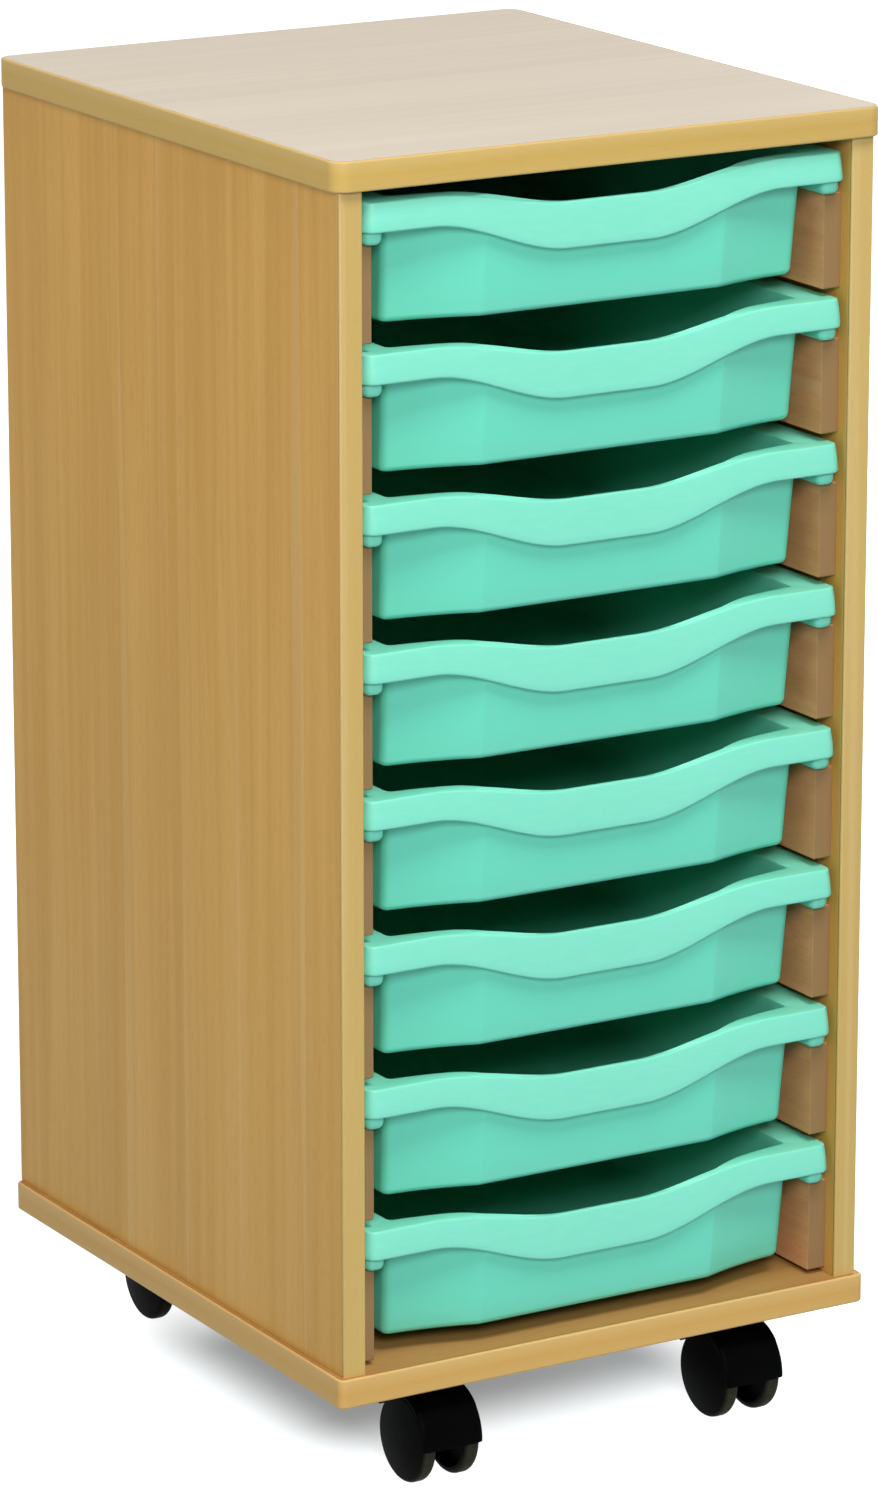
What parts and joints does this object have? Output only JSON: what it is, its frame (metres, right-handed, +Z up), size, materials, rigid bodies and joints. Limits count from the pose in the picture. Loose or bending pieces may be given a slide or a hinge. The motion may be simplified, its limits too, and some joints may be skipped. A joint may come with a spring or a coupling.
{
  "type": "classroom tray storage unit",
  "caption": "Narrow beech-faced classroom storage unit on castors, open at the front, with a stack of shallow turquoise plastic trays that slide on wooden runners.",
  "frame": {"origin": "on the floor under the middle of the unit's plan", "axes": "+X to the right seen from the front, -Y towards the front, +Z up"},
  "size_m": [0.37, 0.42, 0.8085],
  "materials": {
    "beech_board": "melamine-faced beech, satin, vertical grain",
    "pale_board": "melamine-faced beech, satin, pale in the light from above",
    "edge_band": "solid-colour beech edge band, satin",
    "runner_wood": "plain sanded wood",
    "tray_plastic": "injection-moulded polypropylene, soft sheen",
    "castor_plastic": "black moulded nylon, satin",
    "castor_steel": "zinc-plated steel"
  },
  "bodies": {
    "cabinet": {"top_panel": "pale_board", "top_edging": "edge_band", "base_panel": "beech_board", "base_edging": "edge_band", "left_side": "beech_board", "left_side_edging": "edge_band", "right_side": "beech_board", "right_side_edging": "edge_band", "back_panel": "beech_board", "left_runner_1": "runner_wood", "left_runner_2": "runner_wood", "left_runner_3": "runner_wood", "left_runner_4": "runner_wood", "left_runner_5": "runner_wood", "left_runner_6": "runner_wood", "left_runner_7": "runner_wood", "left_runner_8": "runner_wood", "right_runner_1": "runner_wood", "right_runner_2": "runner_wood", "right_runner_3": "runner_wood", "right_runner_4": "runner_wood", "right_runner_5": "runner_wood", "right_runner_6": "runner_wood", "right_runner_7": "runner_wood", "right_runner_8": "runner_wood", "front_left_castor_plate": "castor_steel", "front_left_castor_kingpin": "castor_steel", "front_right_castor_plate": "castor_steel", "front_right_castor_kingpin": "castor_steel", "back_left_castor_plate": "castor_steel", "back_left_castor_kingpin": "castor_steel", "back_right_castor_plate": "castor_steel", "back_right_castor_kingpin": "castor_steel"},
    "tray_1": {"tray_1": "tray_plastic"},
    "tray_2": {"tray_2": "tray_plastic"},
    "tray_3": {"tray_3": "tray_plastic"},
    "tray_4": {"tray_4": "tray_plastic"},
    "tray_5": {"tray_5": "tray_plastic"},
    "tray_6": {"tray_6": "tray_plastic"},
    "tray_7": {"tray_7": "tray_plastic"},
    "tray_8": {"tray_8": "tray_plastic"},
    "front_left_castor": {"front_left_castor_hood": "castor_plastic", "front_left_castor_axle": "castor_steel"},
    "front_left_castor_left_wheel": {"front_left_castor_left_wheel": "castor_plastic"},
    "front_left_castor_right_wheel": {"front_left_castor_right_wheel": "castor_plastic"},
    "front_right_castor": {"front_right_castor_hood": "castor_plastic", "front_right_castor_axle": "castor_steel"},
    "front_right_castor_left_wheel": {"front_right_castor_left_wheel": "castor_plastic"},
    "front_right_castor_right_wheel": {"front_right_castor_right_wheel": "castor_plastic"},
    "back_left_castor": {"back_left_castor_hood": "castor_plastic", "back_left_castor_axle": "castor_steel"},
    "back_left_castor_left_wheel": {"back_left_castor_left_wheel": "castor_plastic"},
    "back_left_castor_right_wheel": {"back_left_castor_right_wheel": "castor_plastic"},
    "back_right_castor": {"back_right_castor_hood": "castor_plastic", "back_right_castor_axle": "castor_steel"},
    "back_right_castor_left_wheel": {"back_right_castor_left_wheel": "castor_plastic"},
    "back_right_castor_right_wheel": {"back_right_castor_right_wheel": "castor_plastic"}
  },
  "joints": [
    {"name": "tray_1_slide", "type": "slide", "parent": "cabinet", "child": "tray_1", "axis": [0, -1, 0], "range_m": [0, 0.3]},
    {"name": "tray_2_slide", "type": "slide", "parent": "cabinet", "child": "tray_2", "axis": [0, -1, 0], "range_m": [0, 0.3]},
    {"name": "tray_3_slide", "type": "slide", "parent": "cabinet", "child": "tray_3", "axis": [0, -1, 0], "range_m": [0, 0.3]},
    {"name": "tray_4_slide", "type": "slide", "parent": "cabinet", "child": "tray_4", "axis": [0, -1, 0], "range_m": [0, 0.3]},
    {"name": "tray_5_slide", "type": "slide", "parent": "cabinet", "child": "tray_5", "axis": [0, -1, 0], "range_m": [0, 0.3]},
    {"name": "tray_6_slide", "type": "slide", "parent": "cabinet", "child": "tray_6", "axis": [0, -1, 0], "range_m": [0, 0.3]},
    {"name": "tray_7_slide", "type": "slide", "parent": "cabinet", "child": "tray_7", "axis": [0, -1, 0], "range_m": [0, 0.3]},
    {"name": "tray_8_slide", "type": "slide", "parent": "cabinet", "child": "tray_8", "axis": [0, -1, 0], "range_m": [0, 0.3]},
    {"name": "front_left_castor_swivel", "type": "hinge", "parent": "cabinet", "child": "front_left_castor", "pos_m": [-0.107, -0.1635, 0.06], "axis": [0, 0, 1], "continuous": true},
    {"name": "front_left_castor_left_wheel_spin", "type": "hinge", "parent": "front_left_castor", "child": "front_left_castor_left_wheel", "pos_m": [-0.107, -0.1795, 0.027], "axis": [1, 0, 0], "continuous": true},
    {"name": "front_left_castor_right_wheel_spin", "type": "hinge", "parent": "front_left_castor", "child": "front_left_castor_right_wheel", "pos_m": [-0.107, -0.1795, 0.027], "axis": [1, 0, 0], "continuous": true},
    {"name": "front_right_castor_swivel", "type": "hinge", "parent": "cabinet", "child": "front_right_castor", "pos_m": [0.107, -0.1635, 0.06], "axis": [0, 0, 1], "continuous": true},
    {"name": "front_right_castor_left_wheel_spin", "type": "hinge", "parent": "front_right_castor", "child": "front_right_castor_left_wheel", "pos_m": [0.107, -0.1795, 0.027], "axis": [1, 0, 0], "continuous": true},
    {"name": "front_right_castor_right_wheel_spin", "type": "hinge", "parent": "front_right_castor", "child": "front_right_castor_right_wheel", "pos_m": [0.107, -0.1795, 0.027], "axis": [1, 0, 0], "continuous": true},
    {"name": "back_left_castor_swivel", "type": "hinge", "parent": "cabinet", "child": "back_left_castor", "pos_m": [-0.107, 0.1635, 0.06], "axis": [0, 0, 1], "continuous": true},
    {"name": "back_left_castor_left_wheel_spin", "type": "hinge", "parent": "back_left_castor", "child": "back_left_castor_left_wheel", "pos_m": [-0.107, 0.1475, 0.027], "axis": [1, 0, 0], "continuous": true},
    {"name": "back_left_castor_right_wheel_spin", "type": "hinge", "parent": "back_left_castor", "child": "back_left_castor_right_wheel", "pos_m": [-0.107, 0.1475, 0.027], "axis": [1, 0, 0], "continuous": true},
    {"name": "back_right_castor_swivel", "type": "hinge", "parent": "cabinet", "child": "back_right_castor", "pos_m": [0.107, 0.1635, 0.06], "axis": [0, 0, 1], "continuous": true},
    {"name": "back_right_castor_left_wheel_spin", "type": "hinge", "parent": "back_right_castor", "child": "back_right_castor_left_wheel", "pos_m": [0.107, 0.1475, 0.027], "axis": [1, 0, 0], "continuous": true},
    {"name": "back_right_castor_right_wheel_spin", "type": "hinge", "parent": "back_right_castor", "child": "back_right_castor_right_wheel", "pos_m": [0.107, 0.1475, 0.027], "axis": [1, 0, 0], "continuous": true}
  ]
}
